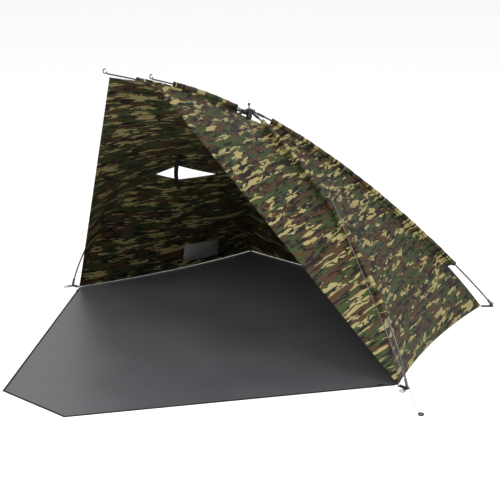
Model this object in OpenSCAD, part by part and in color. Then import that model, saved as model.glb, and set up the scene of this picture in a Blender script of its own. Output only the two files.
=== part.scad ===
/* [Floor] */
// Width of the floor along the door line
front_width = 2200; // [2000:10:2400]
// Width of the floor along the rear edge
rear_width = 1670; // [1500:10:1800]
// Depth of the floor from the door line to the rear edge
floor_depth = 1220; // [1100:10:1300]
// Thickness of the floor fabric
floor_thick = 2; // [1.5:0.5:2.5]
// How far the side and rear edges curve in at their middle
edge_curve = 45; // [20:5:60]

/* [Door] */
// Length of the door from its fold to its outer edge
door_length = 1214; // [1100:2:1240]
// Width of the door along its outer edge
door_tip_width = 426; // [300:2:500]
// Width of the tape that binds the edges
tape_width = 9; // [6:1:12]

/* [Canopy] */
// Thickness of the canopy fabric
cloth = 2.4; // [2:0.2:3]
// Height of the two front points of the hood
hood_height = 1350; // [1250:10:1400]
// Distance between the two front points of the hood
hood_width = 290; // [240:10:340]
// How far the hood reaches in front of the door line
hood_reach = 570; // [500:10:600]
// Front end of the slot window, as a share of the side panel's width
window_front = 0.05; // [0.04:0.01:0.2]
// Rear end of the slot window, as a share of the side panel's width
window_rear = 0.65; // [0.4:0.01:0.7]

/* [Frame] */
// Height of the hub's pins above the ground
hub_height = 1110; // [1060:10:1160]
// Distance from the door line back to the hub
hub_setback = 235; // [200:5:260]
// Diameter of a leg pole
pole_d = 9; // [8:0.5:10]
// Outer diameter of a pole sleeve
sleeve_d = 26; // [24:1:28]
// Diameter of the hub body
hub_d = 64; // [60:1:70]
// Diameter of a hub pin
pin_d = 4; // [3:0.5:5]

/* [Ground fittings] */
// Inner radius of a stake ring
ring_bore = 10; // [8:1:12]
// Width of the webbing
webbing = 25; // [20:1:30]
// Diameter of the guy line
cord_d = 3; // [2.5:0.5:4]

/* [Hidden] */
$fn = 40;

// gap kept between fabric pieces that meet at a seam
seam_gap = 3;
door_line = -floor_depth / 2;
hub_y = door_line + hub_setback;
apex_height = hub_height - 38;
seam_height = 3.6;

// the points of the right half
front_corner = [front_width / 2, door_line, seam_height];
rear_corner = [rear_width / 2, floor_depth / 2, seam_height];
hood_point = [hood_width / 2, door_line - hood_reach, hood_height];
front_foot = [front_width / 2 + 50, door_line - 5, 0];
rear_foot = [rear_width / 2 + 45, floor_depth / 2 + 40, 0];
apex = [0, hub_y, apex_height];
foot_tip = 15;

// vectors
function unit(v) = v / norm(v);
function flat(v) = [v.x, v.y, 0];
function mirrored(p) = [-p.x, p.y, p.z];
function mix(a, b, k) = a * (1 - k) + b * k;
function bezier(p, t) =
    p[0] * pow(1 - t, 3) + 3 * p[1] * t * pow(1 - t, 2) + 3 * p[2] * t * t * (1 - t) + p[3] * pow(t, 3);

// directions in plan from the hub to each foot
front_way = unit(flat(front_foot - apex));
rear_way = unit(flat(rear_foot - apex));
arm_pivot_x = 9;
arm_way = unit(flat(hood_point + [3, -10, 0] - [arm_pivot_x, hub_y, 0]));
pin_circle = hub_d / 2 - 7;

function out_from_hub(way, reach, height) = [way.x * reach, hub_y + way.y * reach, height];

// centre lines of the poles, from the hub pin to the tip
front_pole_curve = [
    out_from_hub(front_way, pin_circle, hub_height),
    out_from_hub(front_way, 420, 970),
    out_from_hub(front_way, 1020, 500),
    front_foot + [0, 0, foot_tip]
];
rear_pole_curve = [
    out_from_hub(rear_way, pin_circle, hub_height),
    out_from_hub(rear_way, 450, 905),
    out_from_hub(rear_way, 1025, 390),
    rear_foot + [0, 0, foot_tip]
];
arm_start = [arm_pivot_x, hub_y, hub_height] + arm_way * pin_circle;
arm_end = hood_point + [3, -10, 18];
arm_pole_curve = [
    arm_start,
    mix(arm_start, arm_end, 1 / 3) + [0, 0, 28],
    mix(arm_start, arm_end, 2 / 3) + [0, 0, 22],
    arm_end
];

// seams of the canopy, each just below its pole
front_seam = [apex, out_from_hub(front_way, 415, 957), out_from_hub(front_way, 1003, 490), front_corner];
rear_seam = [apex, out_from_hub(rear_way, 445, 892), out_from_hub(rear_way, 1008, 380), rear_corner];
arm_seam = [
    apex,
    mix(apex, hood_point, 1 / 3) + [0, 0, 28],
    mix(apex, hood_point, 2 / 3) + [0, 0, 20],
    hood_point
];

// first point of each canopy panel along its seams, under the crown patch
crown = 0.05;

// a point of a canopy panel between two seams, with the bottom edge curved in by sag_in
function panel_point(seam_a, seam_b, u, t, inward, sag_in, sag_mid) =
    mix(bezier(seam_a, t), bezier(seam_b, t), u)
    + inward * 4 * u * (1 - u) * (sag_in * pow(t, 3) + sag_mid * sin(180 * t));

side_inward = unit([-(rear_corner.y - front_corner.y), -(front_corner.x - rear_corner.x), 0]);
function front_point(u, t) = panel_point(arm_seam, front_seam, u, t, [-0.7, 0, -0.7], 0, 14);
function side_point(u, t) = panel_point(front_seam, rear_seam, u, t, side_inward, edge_curve, 20);
function hood_point_at(u, t) =
    panel_point([for (p = arm_seam) mirrored(p)], arm_seam, u, t, [0, 0, -1], 0, 8);
function rear_point(u, t) =
    panel_point(rear_seam, [for (p = rear_seam) mirrored(p)], u, t, [0, -1, 0], edge_curve, 20);

// a curved sheet of even thickness whose middle follows the function shape(u, t)
module sheet(shape, thick, u_range, t_range, u_steps, t_steps, trim = seam_gap / 2) {
    us = [for (i = [0 : u_steps]) mix(u_range[0], u_range[1], i / u_steps)];
    ts = [for (j = [0 : t_steps]) mix(t_range[0], t_range[1], j / t_steps)];
    function inset(u, t) =
        let (wide = max(norm(shape(1, t) - shape(0, t)), 1))
        mix(trim / wide, 1 - trim / wide, u);
    function at(u, t) = shape(inset(u, t), t);
    function normal(u, t) =
        unit(cross(at(min(u + 0.01, 1), t) - at(max(u - 0.01, 0), t),
                   at(u, min(t + 0.01, 1)) - at(u, max(t - 0.01, 0))));
    rows = t_steps + 1;
    half = len(us) * rows;
    points = [
        for (side = [-1, 1]) for (u = us) for (t = ts) at(u, t) + normal(u, t) * side * thick / 2
    ];
    function id(side, i, j) = side * half + i * rows + j;
    faces = concat(
        [for (i = [0 : u_steps - 1]) for (j = [0 : t_steps - 1]) each [
            [id(0, i, j), id(0, i + 1, j), id(0, i + 1, j + 1)],
            [id(0, i, j), id(0, i + 1, j + 1), id(0, i, j + 1)],
            [id(1, i, j), id(1, i + 1, j + 1), id(1, i + 1, j)],
            [id(1, i, j), id(1, i, j + 1), id(1, i + 1, j + 1)]
        ]],
        [for (i = [0 : u_steps - 1]) each [
            [id(0, i, 0), id(1, i, 0), id(1, i + 1, 0)],
            [id(0, i, 0), id(1, i + 1, 0), id(0, i + 1, 0)],
            [id(0, i, t_steps), id(0, i + 1, t_steps), id(1, i + 1, t_steps)],
            [id(0, i, t_steps), id(1, i + 1, t_steps), id(1, i, t_steps)]
        ]],
        [for (j = [0 : t_steps - 1]) each [
            [id(0, 0, j), id(0, 0, j + 1), id(1, 0, j + 1)],
            [id(0, 0, j), id(1, 0, j + 1), id(1, 0, j)],
            [id(0, u_steps, j), id(1, u_steps, j + 1), id(0, u_steps, j + 1)],
            [id(0, u_steps, j), id(1, u_steps, j), id(1, u_steps, j + 1)]
        ]]
    );
    polyhedron(points, faces, convexity = 6);
}

// rings of points around a path; across is a direction that the path never takes
function rings(path, radius, across, sides) = [
    for (k = [0 : len(path) - 1])
        let (
            along = unit(path[min(k + 1, len(path) - 1)] - path[max(k - 1, 0)]),
            right = unit(cross(along, across)),
            up = cross(right, along)
        )
        for (s = [0 : sides - 1])
            path[k] + radius * (right * cos(360 * s / sides) + up * sin(360 * s / sides))
];

// a solid rod along a path
module rod(path, radius, across, sides = 10) {
    last = (len(path) - 1) * sides;
    faces = concat(
        [for (k = [0 : len(path) - 2]) for (s = [0 : sides - 1])
            let (n = (s + 1) % sides, a = k * sides, b = a + sides) each [
                [a + s, b + s, b + n], [a + s, b + n, a + n]
            ]],
        [[for (s = [0 : sides - 1]) s]],
        [[for (s = [0 : sides - 1]) last + sides - 1 - s]]
    );
    polyhedron(rings(path, radius, across, sides), faces, convexity = 4);
}

// an open tube along a path
module tube(path, outer, inner, across, sides = 12) {
    n_pts = len(path) * sides;
    last = n_pts - sides;
    faces = concat(
        [for (k = [0 : len(path) - 2]) for (s = [0 : sides - 1])
            let (n = (s + 1) % sides, a = k * sides, b = a + sides, c = a + n_pts, d = b + n_pts) each [
                [a + s, b + s, b + n], [a + s, b + n, a + n],
                [c + s, d + n, d + s], [c + s, c + n, d + n]
            ]],
        [for (s = [0 : sides - 1]) let (n = (s + 1) % sides) each [
            [s, n, n_pts + n], [s, n_pts + n, n_pts + s],
            [last + s, last + n_pts + n, last + n], [last + s, last + n_pts + s, last + n_pts + n]
        ]]
    );
    polyhedron(concat(rings(path, outer, across, sides), rings(path, inner, across, sides)), faces,
               convexity = 6);
}

// points along a pole curve between two shares of its length
function along_curve(curve, from, to, steps) =
    [for (k = [0 : steps]) bezier(curve, mix(from, to, k / steps))];

// direction across a pole, level and square to its plan
function across_way(way) = [way.y, -way.x, 0];

// turns a part drawn along +X to point along way in plan, at a place
module facing(way, place) {
    translate(place) rotate([0, 0, atan2(way.y, way.x)]) children();
}

// ground sheet

function floor_edge(inset) = [
    [-front_corner.x + inset * 1.3, door_line + 2],
    [front_corner.x - inset * 1.3, door_line + 2],
    each [for (k = [1 : 9]) let (p = side_point(k / 10, 1)) [p.x - inset, p.y]],
    [rear_corner.x - inset * 1.2, rear_corner.y - inset],
    each [for (k = [1 : 9]) let (p = rear_point(k / 10, 1)) [p.x, p.y - inset]],
    [-rear_corner.x + inset * 1.2, rear_corner.y - inset],
    each [for (k = [9 : -1 : 1]) let (p = side_point(k / 10, 1)) [-p.x + inset, p.y]]
];
module floor_panel() {
    color("dimgray") linear_extrude(floor_thick) polygon(floor_edge(8));
}

// door, lying flat in front of the floor
door_fold_y = door_line - 6;
door_half = front_corner.x - 6;
door_tip_y = door_fold_y - door_length;
// direction of the door's right edge, from the fold to the tip
door_edge_way = unit([door_tip_width / 2 - door_half, -door_length, 0]);
function door_x(y, inset) =
    mix(door_half, door_tip_width / 2, (door_fold_y - y) / door_length) - inset / abs(door_edge_way.y);
module door_panel() {
    tip = door_tip_y + tape_width;
    color("dimgray") linear_extrude(floor_thick) polygon([
        [-door_x(door_fold_y, tape_width), door_fold_y], [door_x(door_fold_y, tape_width), door_fold_y],
        [door_x(tip, tape_width), tip], [-door_x(tip, tape_width), tip]
    ]);
}
module door_edge_tape() {
    tip = door_tip_y + tape_width;
    inner = tape_width;
    color("black") linear_extrude(floor_thick + 1) {
        for (s = [-1, 1]) polygon([
            [s * door_x(door_fold_y, 0), door_fold_y], [s * door_x(door_tip_y, 0), door_tip_y],
            [s * door_x(tip, inner), tip], [s * door_x(door_fold_y, inner), door_fold_y]
        ]);
        polygon([
            [door_x(door_tip_y, 0), door_tip_y], [-door_x(door_tip_y, 0), door_tip_y],
            [-door_x(tip, inner), tip], [door_x(tip, inner), tip]
        ]);
    }
}

// canopy panels

module hood_panel() {
    color("olive") sheet(function (u, t) hood_point_at(u, t), cloth, [0, 1], [crown, 1], 4, 12);
}
module right_front_panel() {
    color("olivedrab") sheet(function (u, t) front_point(u, t), cloth, [0, 1], [crown, 1], 8, 14);
}
module left_front_panel() {
    mirror([1, 0, 0]) right_front_panel();
}
module right_side_panel() {
    color("olivedrab") sheet(function (u, t) side_point(u, t), cloth, [0, 1], [crown, 1], 8, 14);
}
module rear_panel() {
    color("olive") sheet(function (u, t) rear_point(u, t), cloth, [0, 1], [crown, 1], 10, 14);
}

// slot window in the left side panel, drawn on the right and mirrored: its four corners on the panel
window_corners = [
    side_point(window_front, 0.458), side_point(0.296, 0.491),
    side_point(window_rear, 0.462), side_point(0.178, 0.405)
];
window_centre = (window_corners[0] + window_corners[1] + window_corners[2] + window_corners[3]) / 4;
window_along = unit(window_corners[2] - window_corners[0]);
window_out = unit(cross(window_along, window_corners[3] - window_corners[1]));
window_up = cross(window_out, window_along);
module on_window() {
    a = window_along;
    b = window_up;
    c = window_out;
    o = window_centre;
    multmatrix([[a.x, b.x, c.x, o.x], [a.y, b.y, c.y, o.y], [a.z, b.z, c.z, o.z]]) children();
}
module window_prism(grow) {
    on_window() translate([0, 0, -150]) linear_extrude(300) polygon([
        for (corner = window_corners)
            let (d = corner - window_centre, place = [d * window_along, d * window_up])
            place + grow * unit(place)
    ]);
}
module left_side_panel() {
    mirror([1, 0, 0]) difference() {
        right_side_panel();
        window_prism(0);
    }
}

// strap down the middle of the window and the tape round it, on the inside
strap_t = [0.352, 0.54];
strap_gap = 14;
tape_gap = 6;
function strap_u(t) = 0.092 + (t - 0.359) * 1.43;
function strap_point(u, t) =
    let (wide = norm(side_point(1, t) - side_point(0, t)))
    side_point(strap_u(t) + (u - 0.5) * webbing / wide, t) - window_out * strap_gap;
module window_strap() {
    mirror([1, 0, 0]) color("black")
        sheet(function (u, t) strap_point(u, t), 1.6, [0, 1], strap_t, 1, 6, 0);
}
module window_binding() {
    mirror([1, 0, 0]) color("black") difference() {
        intersection() {
            sheet(function (u, t) side_point(u, t) - window_out * tape_gap, 1.5,
                  [0.01, 0.75], [0.37, 0.53], 10, 8, 0);
            window_prism(10);
        }
        window_prism(0);
    }
}

// mesh pocket low on the inside of the left side panel
pocket_u = [0.55, 0.77];
pocket_t = [0.86, 0.965];
function pocket_point(u, t) =
    side_point(mix(pocket_u[0], pocket_u[1], u), mix(pocket_t[0], pocket_t[1], t))
    + side_inward * (5 + 32 * pow(4 * u * (1 - u), 0.5) * (1 - pow(t, 2)))
    - [0, 0, 3];
module mesh_pocket() {
    mirror([1, 0, 0]) color("gray")
        sheet(function (u, t) pocket_point(u, t), 1.6, [0, 1], [0.12, 1], 8, 6, 0);
}
module pocket_hem() {
    mirror([1, 0, 0]) color("darkgray")
        sheet(function (u, t) pocket_point(u, t), 2.4, [0, 1], [0, 0.1], 8, 1, 0);
}

crown_z = apex_height + 8;
module crown_patch() {
    color("olive") translate([0, hub_y, crown_z]) difference() {
        cylinder(h = 2, r = 34);
        translate([0, 0, -1]) cylinder(h = 4, r = 14);
    }
}

// tape along the front edge of a front panel
module right_edge_tape() {
    path = [for (k = [0, 1]) mix(hood_point, front_corner, 0.012 + k * 0.975) - [0, 7, 0]];
    color("black") rod(path, 4, [0, 1, 0], 6);
}
module left_edge_tape() {
    mirror([1, 0, 0]) right_edge_tape();
}

// sleeves and poles

sleeve_wall = 4;
module leg_sleeve(curve, way) {
    color("olive") tube(along_curve(curve, 0.07, 0.80, 20), sleeve_d / 2, sleeve_d / 2 - sleeve_wall,
                        across_way(way));
}
module front_right_sleeve() { leg_sleeve(front_pole_curve, front_way); }
module front_left_sleeve() { mirror([1, 0, 0]) front_right_sleeve(); }
module rear_right_sleeve() { leg_sleeve(rear_pole_curve, rear_way); }
module rear_left_sleeve() { mirror([1, 0, 0]) rear_right_sleeve(); }
module right_arm_sleeve() {
    color("olive") tube(along_curve(arm_pole_curve, 0.14, 0.80, 12), sleeve_d / 2 - 2,
                        sleeve_d / 2 - sleeve_wall, across_way(arm_way));
}
module left_arm_sleeve() { mirror([1, 0, 0]) right_arm_sleeve(); }

// the pole starts inside its knuckle's socket
socket_share = 0.02;
module leg_pole(curve, way) {
    color("dimgray") rod(along_curve(curve, socket_share, 1, 26), pole_d / 2, across_way(way));
}
module front_right_pole() { leg_pole(front_pole_curve, front_way); }
module front_left_pole() { mirror([1, 0, 0]) front_right_pole(); }
module rear_right_pole() { leg_pole(rear_pole_curve, rear_way); }
module rear_left_pole() { mirror([1, 0, 0]) rear_right_pole(); }
arm_pole_d = pole_d - 2;
module right_arm_pole() {
    color("dimgray") rod(along_curve(arm_pole_curve, socket_share * 2, 1, 16), arm_pole_d / 2,
                         across_way(arm_way));
}
module left_arm_pole() { mirror([1, 0, 0]) right_arm_pole(); }

// knuckle that holds a pole's upper end and turns on a hub pin
knuckle_w = 6.4;
web_w = 5.6;
knuckle_r = 5.4;
fit_gap = 0.05;
socket_wall = 2;
module knuckle(curve, way, rod_d, share, reach) {
    start = curve[0];
    tip = bezier(curve, share);
    slope = unit(bezier(curve, share + 0.01) - tip);
    pitch = asin(slope.z);
    dist = norm(tip - start);
    socket_r = rod_d / 2 + socket_wall;
    color("black") facing(way, start) difference() {
        union() {
            rotate([90, 0, 0]) cylinder(h = knuckle_w, r = knuckle_r, center = true);
            rotate([0, -pitch, 0]) {
                translate([0, -web_w / 2, -3.8]) cube([dist, web_w, 7.6]);
                translate([dist - 8, 0, 0]) rotate([0, 90, 0]) cylinder(h = reach + 8, r = socket_r);
            }
        }
        rotate([90, 0, 0]) cylinder(h = knuckle_w + 2, r = pin_d / 2 + fit_gap, center = true);
        rotate([0, -pitch, 0]) translate([dist - 3, 0, 0]) rotate([0, 90, 0])
            cylinder(h = reach + 20, r = rod_d / 2 + 1);
    }
}
module front_right_knuckle() { knuckle(front_pole_curve, front_way, pole_d, socket_share, 30); }
module front_left_knuckle() { mirror([1, 0, 0]) front_right_knuckle(); }
module rear_right_knuckle() { knuckle(rear_pole_curve, rear_way, pole_d, socket_share, 30); }
module rear_left_knuckle() { mirror([1, 0, 0]) rear_right_knuckle(); }
module right_arm_knuckle() { knuckle(arm_pole_curve, arm_way, arm_pole_d, socket_share * 2, 24); }
module left_arm_knuckle() { mirror([1, 0, 0]) right_arm_knuckle(); }

// curled hook on the end of an arm
module right_arm_hook() {
    along = unit(arm_end - bezier(arm_pole_curve, 0.98));
    curl = 10;
    centre = arm_end + along * 13 + [0, 0, curl];
    color("black") {
        rod(concat(
            [arm_end + along * 0.6, arm_end + along * 4],
            [for (a = [-70 : 28 : 210]) centre + curl * ([0, 0, 1] * -cos(a) + flat(along) * sin(a))]
        ), 2.4, across_way(arm_way), 8);
    }
}
module left_arm_hook() { mirror([1, 0, 0]) right_arm_hook(); }

// foot: a cup around the pole's lower end with a ball that stands on the corner tab
ball_r = 7;
ball_z = 9.4;
cup_length = 30;
module foot(curve, way) {
    end = curve[3];
    slope = unit(end - bezier(curve, 0.985));
    drop = (end.z - ball_z) / -slope.z;
    color("dimgray") facing(way, end) rotate([0, 90 + asin(-slope.z), 0]) difference() {
        union() {
            translate([0, 0, -cup_length]) cylinder(h = cup_length + drop, r = ball_r);
            translate([0, 0, drop]) sphere(r = ball_r);
        }
        translate([0, 0, -cup_length - 1]) cylinder(h = cup_length + 2, r = pole_d / 2 + 0.9);
    }
}
module front_right_foot() { foot(front_pole_curve, front_way); }
module front_left_foot() { mirror([1, 0, 0]) front_right_foot(); }
module rear_right_foot() { foot(rear_pole_curve, rear_way); }
module rear_left_foot() { mirror([1, 0, 0]) rear_right_foot(); }

// hub

hub_ways = [
    [arm_way, [arm_pivot_x, 0, 0]], [mirrored(arm_way), [-arm_pivot_x, 0, 0]],
    [front_way, [0, 0, 0]], [mirrored(front_way), [0, 0, 0]],
    [rear_way, [0, 0, 0]], [mirrored(rear_way), [0, 0, 0]]
];
slot_w = knuckle_w + 0.8;
hub_half = 9;
module hub_body() {
    color("black") translate([0, hub_y, hub_height]) difference() {
        translate([0, 0, -hub_half]) cylinder(h = 2 * hub_half, d = hub_d);
        for (w = hub_ways) facing(w[0], w[1]) {
            translate([pin_circle - knuckle_r - 2.5, -slot_w / 2, -hub_half - 1])
                cube([hub_d, slot_w, 2 * hub_half + 2]);
            translate([pin_circle, 0, 0]) rotate([90, 0, 0])
                cylinder(h = slot_w + 5, r = pin_d / 2 + fit_gap, center = true);
        }
        translate([0, 0, -hub_half - 1]) cylinder(h = 2 * hub_half + 2, r = 6);
    }
}
module hub_pins() {
    color("silver") translate([0, hub_y, hub_height]) for (w = hub_ways)
        facing(w[0], w[1]) translate([pin_circle, 0, 0]) rotate([90, 0, 0])
            cylinder(h = slot_w + 4.4, d = pin_d, center = true);
}
plunger_r = 3;
module hub_cap() {
    color("black") translate([0, hub_y, hub_height + hub_half + 0.4]) difference() {
        union() {
            cylinder(h = 3, d = hub_d - 22);
            translate([0, 0, 3]) cylinder(h = 5, d1 = hub_d - 22, d2 = hub_d - 40);
        }
        translate([0, 0, -1]) cylinder(h = 12, r = plunger_r + fit_gap);
    }
}
// plunger with a round knob that locks the hub
module release_pin() {
    color("black") translate([0, hub_y, hub_height - 4]) {
        cylinder(h = 44, r = plunger_r);
        translate([0, 0, 44]) sphere(r = 7);
    }
}
// two webbing tabs that tie the canopy's crown to the hub
module hub_straps() {
    top = hub_height - hub_half - 0.5;
    low = crown_z + 2.5;
    color("black") for (s = [-1, 1]) translate([s * 13 - 1, hub_y - 7, low]) cube([2, 14, top - low]);
}

// corner tabs: webbing under the foot, with a side arm and a loop that holds the stake ring

tab_thick = 2;
loop_bore = 3.5;
loop_wall = 1.2;
ring_w = 4;
ring_thick = 3;
loop_z = loop_bore + loop_wall;
loop_reach = 27;
module corner_tab(corner, place, turn) {
    way = unit(flat(place - corner));
    back = norm(flat(place - corner)) - 6;
    color("black") facing(way, [place.x, place.y, 0]) difference() {
        union() {
            translate([-back, -webbing / 2, 0]) cube([back + 12, webbing, tab_thick]);
            rotate([0, 0, turn]) {
                translate([0, -8, 0]) cube([loop_reach, 16, tab_thick]);
                translate([loop_reach, 0, loop_z]) rotate([90, 0, 0])
                    cylinder(h = 8, r = loop_bore + loop_wall, center = true);
            }
        }
        rotate([0, 0, turn]) translate([loop_reach, 0, loop_z]) rotate([90, 0, 0])
            cylinder(h = 20, r = loop_bore, center = true);
    }
}
// ring with two short arms and a cross bar that the loop holds
bar_r = 1.8;
bar_reach = ring_bore + ring_w + loop_bore + loop_wall + 1.5;
module stake_ring(corner, place, turn) {
    way = unit(flat(place - corner));
    color("silver") facing(way, [place.x, place.y, loop_z]) rotate([0, 0, turn])
        translate([loop_reach + bar_reach, 0, 0]) difference() {
            union() {
                translate([0, 0, -ring_thick / 2]) cylinder(h = ring_thick, r = ring_bore + ring_w);
                for (s = [-1, 1]) translate([-bar_reach - 2, s * 6 - 1.4, -1.2])
                    cube([bar_reach - ring_bore + 1.5, 2.8, 2.4]);
                translate([-bar_reach, 0, 0]) rotate([90, 0, 0]) cylinder(h = 13, r = bar_r, center = true);
            }
            translate([0, 0, -ring_thick]) cylinder(h = 2 * ring_thick, r = ring_bore);
        }
}
// turn of the side arm away from the leg's line, at a front and at a rear corner
front_turn = -75;
rear_turn = 75;
module front_right_corner_tab() { corner_tab(front_corner, front_foot, front_turn); }
module front_left_corner_tab() { mirror([1, 0, 0]) front_right_corner_tab(); }
module rear_right_corner_tab() { corner_tab(rear_corner, rear_foot, rear_turn); }
module rear_left_corner_tab() { mirror([1, 0, 0]) rear_right_corner_tab(); }
module front_right_stake_ring() { stake_ring(front_corner, front_foot, front_turn); }
module front_left_stake_ring() { mirror([1, 0, 0]) front_right_stake_ring(); }
module rear_right_stake_ring() { stake_ring(rear_corner, rear_foot, rear_turn); }
module rear_left_stake_ring() { mirror([1, 0, 0]) rear_right_stake_ring(); }

// zip sliders, parked near the fold of the door
slider_start = 60;
module right_zip_slider() {
    place = [door_x(door_fold_y, tape_width / 2), door_fold_y, 0] + door_edge_way * slider_start;
    color("black") facing(door_edge_way, place) {
        translate([-9, -4.5, floor_thick + 1.4]) cube([18, 9, 3]);
        translate([-4, -1.5, floor_thick + 4.4]) cube([8, 3, 2]);
        translate([-2, -4, floor_thick + 6.4]) cube([28, 8, 1.6]);
    }
}
module left_zip_slider() { mirror([1, 0, 0]) right_zip_slider(); }

// guy line from the front right sleeve to the ground
guy_top = [618, -498, 786];
guy_low = [1339, -810, 6];
guy_way = unit(guy_low - guy_top);
guy_route = [for (k = [0 : 24]) mix(guy_top, guy_low, k / 24)];
ring_r = 9;
module guy_line() {
    color("gray") rod(guy_route, cord_d / 2, [0, 1, 0], 8);
}
module guy_loop() {
    color("black") translate(guy_top - guy_way * 6.8) difference() {
        sphere(r = 5);
        rotate([90, 0, 0]) cylinder(h = 12, r = 2, center = true);
    }
}
module guy_ring() {
    way = unit(flat(guy_way));
    color("black") translate([guy_low.x, guy_low.y, 1] + way * (ring_r + 6.5)) difference() {
        cylinder(h = 6, r = ring_r + 4);
        translate([0, 0, -1]) cylinder(h = 8, r = ring_r);
    }
}

floor_panel();
door_panel();
door_edge_tape();
hood_panel();
left_front_panel();
right_front_panel();
left_side_panel();
right_side_panel();
rear_panel();
crown_patch();
left_edge_tape();
right_edge_tape();
left_arm_sleeve();
right_arm_sleeve();
front_left_sleeve();
front_right_sleeve();
rear_left_sleeve();
rear_right_sleeve();
left_arm_pole();
right_arm_pole();
front_left_pole();
front_right_pole();
rear_left_pole();
rear_right_pole();
left_arm_knuckle();
right_arm_knuckle();
front_left_knuckle();
front_right_knuckle();
rear_left_knuckle();
rear_right_knuckle();
left_arm_hook();
right_arm_hook();
front_left_foot();
front_right_foot();
rear_left_foot();
rear_right_foot();
hub_body();
hub_cap();
hub_pins();
hub_straps();
release_pin();
front_left_corner_tab();
front_right_corner_tab();
rear_left_corner_tab();
rear_right_corner_tab();
front_left_stake_ring();
front_right_stake_ring();
rear_left_stake_ring();
rear_right_stake_ring();
left_zip_slider();
right_zip_slider();
window_strap();
window_binding();
mesh_pocket();
pocket_hem();
guy_line();
guy_loop();
guy_ring();
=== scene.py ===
import math

import bmesh
import bpy
import numpy as np
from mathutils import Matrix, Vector


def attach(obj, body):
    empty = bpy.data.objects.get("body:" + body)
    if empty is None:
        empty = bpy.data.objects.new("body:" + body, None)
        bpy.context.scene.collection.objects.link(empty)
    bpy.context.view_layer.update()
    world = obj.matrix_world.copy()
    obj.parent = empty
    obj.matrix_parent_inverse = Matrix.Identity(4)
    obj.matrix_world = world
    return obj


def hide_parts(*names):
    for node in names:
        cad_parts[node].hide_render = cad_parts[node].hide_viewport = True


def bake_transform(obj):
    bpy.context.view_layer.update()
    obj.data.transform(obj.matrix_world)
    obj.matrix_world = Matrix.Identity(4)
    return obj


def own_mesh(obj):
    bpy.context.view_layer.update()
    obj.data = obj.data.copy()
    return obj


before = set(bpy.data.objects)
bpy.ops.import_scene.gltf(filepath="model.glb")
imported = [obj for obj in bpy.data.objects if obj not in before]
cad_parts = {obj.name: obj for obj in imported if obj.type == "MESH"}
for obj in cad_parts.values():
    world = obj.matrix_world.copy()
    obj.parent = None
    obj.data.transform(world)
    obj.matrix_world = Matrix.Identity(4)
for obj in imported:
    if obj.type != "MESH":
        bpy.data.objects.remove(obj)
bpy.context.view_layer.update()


# ---------------------------------------------------------------- camera
LENS = 79.2
YAW = 0.711
PITCH = 0.283
camera = bpy.data.objects.new("camera", bpy.data.cameras.new("camera"))
bpy.context.scene.collection.objects.link(camera)
camera.data.lens = LENS
camera.data.sensor_width = 36
camera.location = (3.623, -4.574, 1.995)
camera.rotation_euler = (math.pi / 2 - PITCH, 0, YAW)
bpy.context.scene.camera = camera


# ---------------------------------------------------------------- geometry shared with the CAD
def vec(*p):
    return np.array(p, float)


def unit(v):
    return v / max(np.linalg.norm(v), 1e-12)


def flat(v):
    return vec(v[0], v[1], 0)


def mix(a, b, k):
    return a * (1 - k) + b * k


def mirrored(p):
    return vec(-p[0], p[1], p[2])


def bezier(p, t):
    return p[0] * (1 - t) ** 3 + 3 * p[1] * t * (1 - t) ** 2 + 3 * p[2] * t * t * (1 - t) + p[3] * t**3


SEAM_Z = 0.0036
HUB_Y = -0.375
HUB_Z = 1.110
PIN_CIRCLE = 0.025
FRONT_CORNER = vec(1.1, -0.61, SEAM_Z)
REAR_CORNER = vec(0.835, 0.61, SEAM_Z)
HOOD_POINT = vec(0.145, -1.18, 1.35)
FRONT_FOOT = vec(1.15, -0.615, 0)
REAR_FOOT = vec(0.88, 0.65, 0)
APEX = vec(0, HUB_Y, 1.072)
FRONT_WAY = unit(flat(FRONT_FOOT - APEX))
REAR_WAY = unit(flat(REAR_FOOT - APEX))
ARM_X = 0.009
ARM_WAY = unit(flat(HOOD_POINT + vec(0.003, -0.01, 0) - vec(ARM_X, HUB_Y, 0)))


def out_from_hub(way, reach, height):
    return vec(way[0] * reach, HUB_Y + way[1] * reach, height)


FOOT_TIP = vec(0, 0, 0.015)
FRONT_POLE = [out_from_hub(FRONT_WAY, PIN_CIRCLE, HUB_Z), out_from_hub(FRONT_WAY, 0.42, 0.97),
              out_from_hub(FRONT_WAY, 1.02, 0.5), FRONT_FOOT + FOOT_TIP]
REAR_POLE = [out_from_hub(REAR_WAY, PIN_CIRCLE, HUB_Z), out_from_hub(REAR_WAY, 0.45, 0.905),
             out_from_hub(REAR_WAY, 1.025, 0.39), REAR_FOOT + FOOT_TIP]
ARM_START = vec(ARM_X, HUB_Y, HUB_Z) + ARM_WAY * PIN_CIRCLE
ARM_END = HOOD_POINT + vec(0.003, -0.01, 0.018)
ARM_POLE = [ARM_START, mix(ARM_START, ARM_END, 1 / 3) + vec(0, 0, 0.028),
            mix(ARM_START, ARM_END, 2 / 3) + vec(0, 0, 0.022), ARM_END]
FRONT_SEAM = [APEX, out_from_hub(FRONT_WAY, 0.415, 0.957), out_from_hub(FRONT_WAY, 1.003, 0.49), FRONT_CORNER]
REAR_SEAM = [APEX, out_from_hub(REAR_WAY, 0.445, 0.892), out_from_hub(REAR_WAY, 1.008, 0.38), REAR_CORNER]
ARM_SEAM = [APEX, mix(APEX, HOOD_POINT, 1 / 3) + vec(0, 0, 0.028),
            mix(APEX, HOOD_POINT, 2 / 3) + vec(0, 0, 0.02), HOOD_POINT]
EDGE_CURVE = 0.045
SIDE_INWARD = unit(vec(-(REAR_CORNER[1] - FRONT_CORNER[1]), -(FRONT_CORNER[0] - REAR_CORNER[0]), 0))


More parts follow.
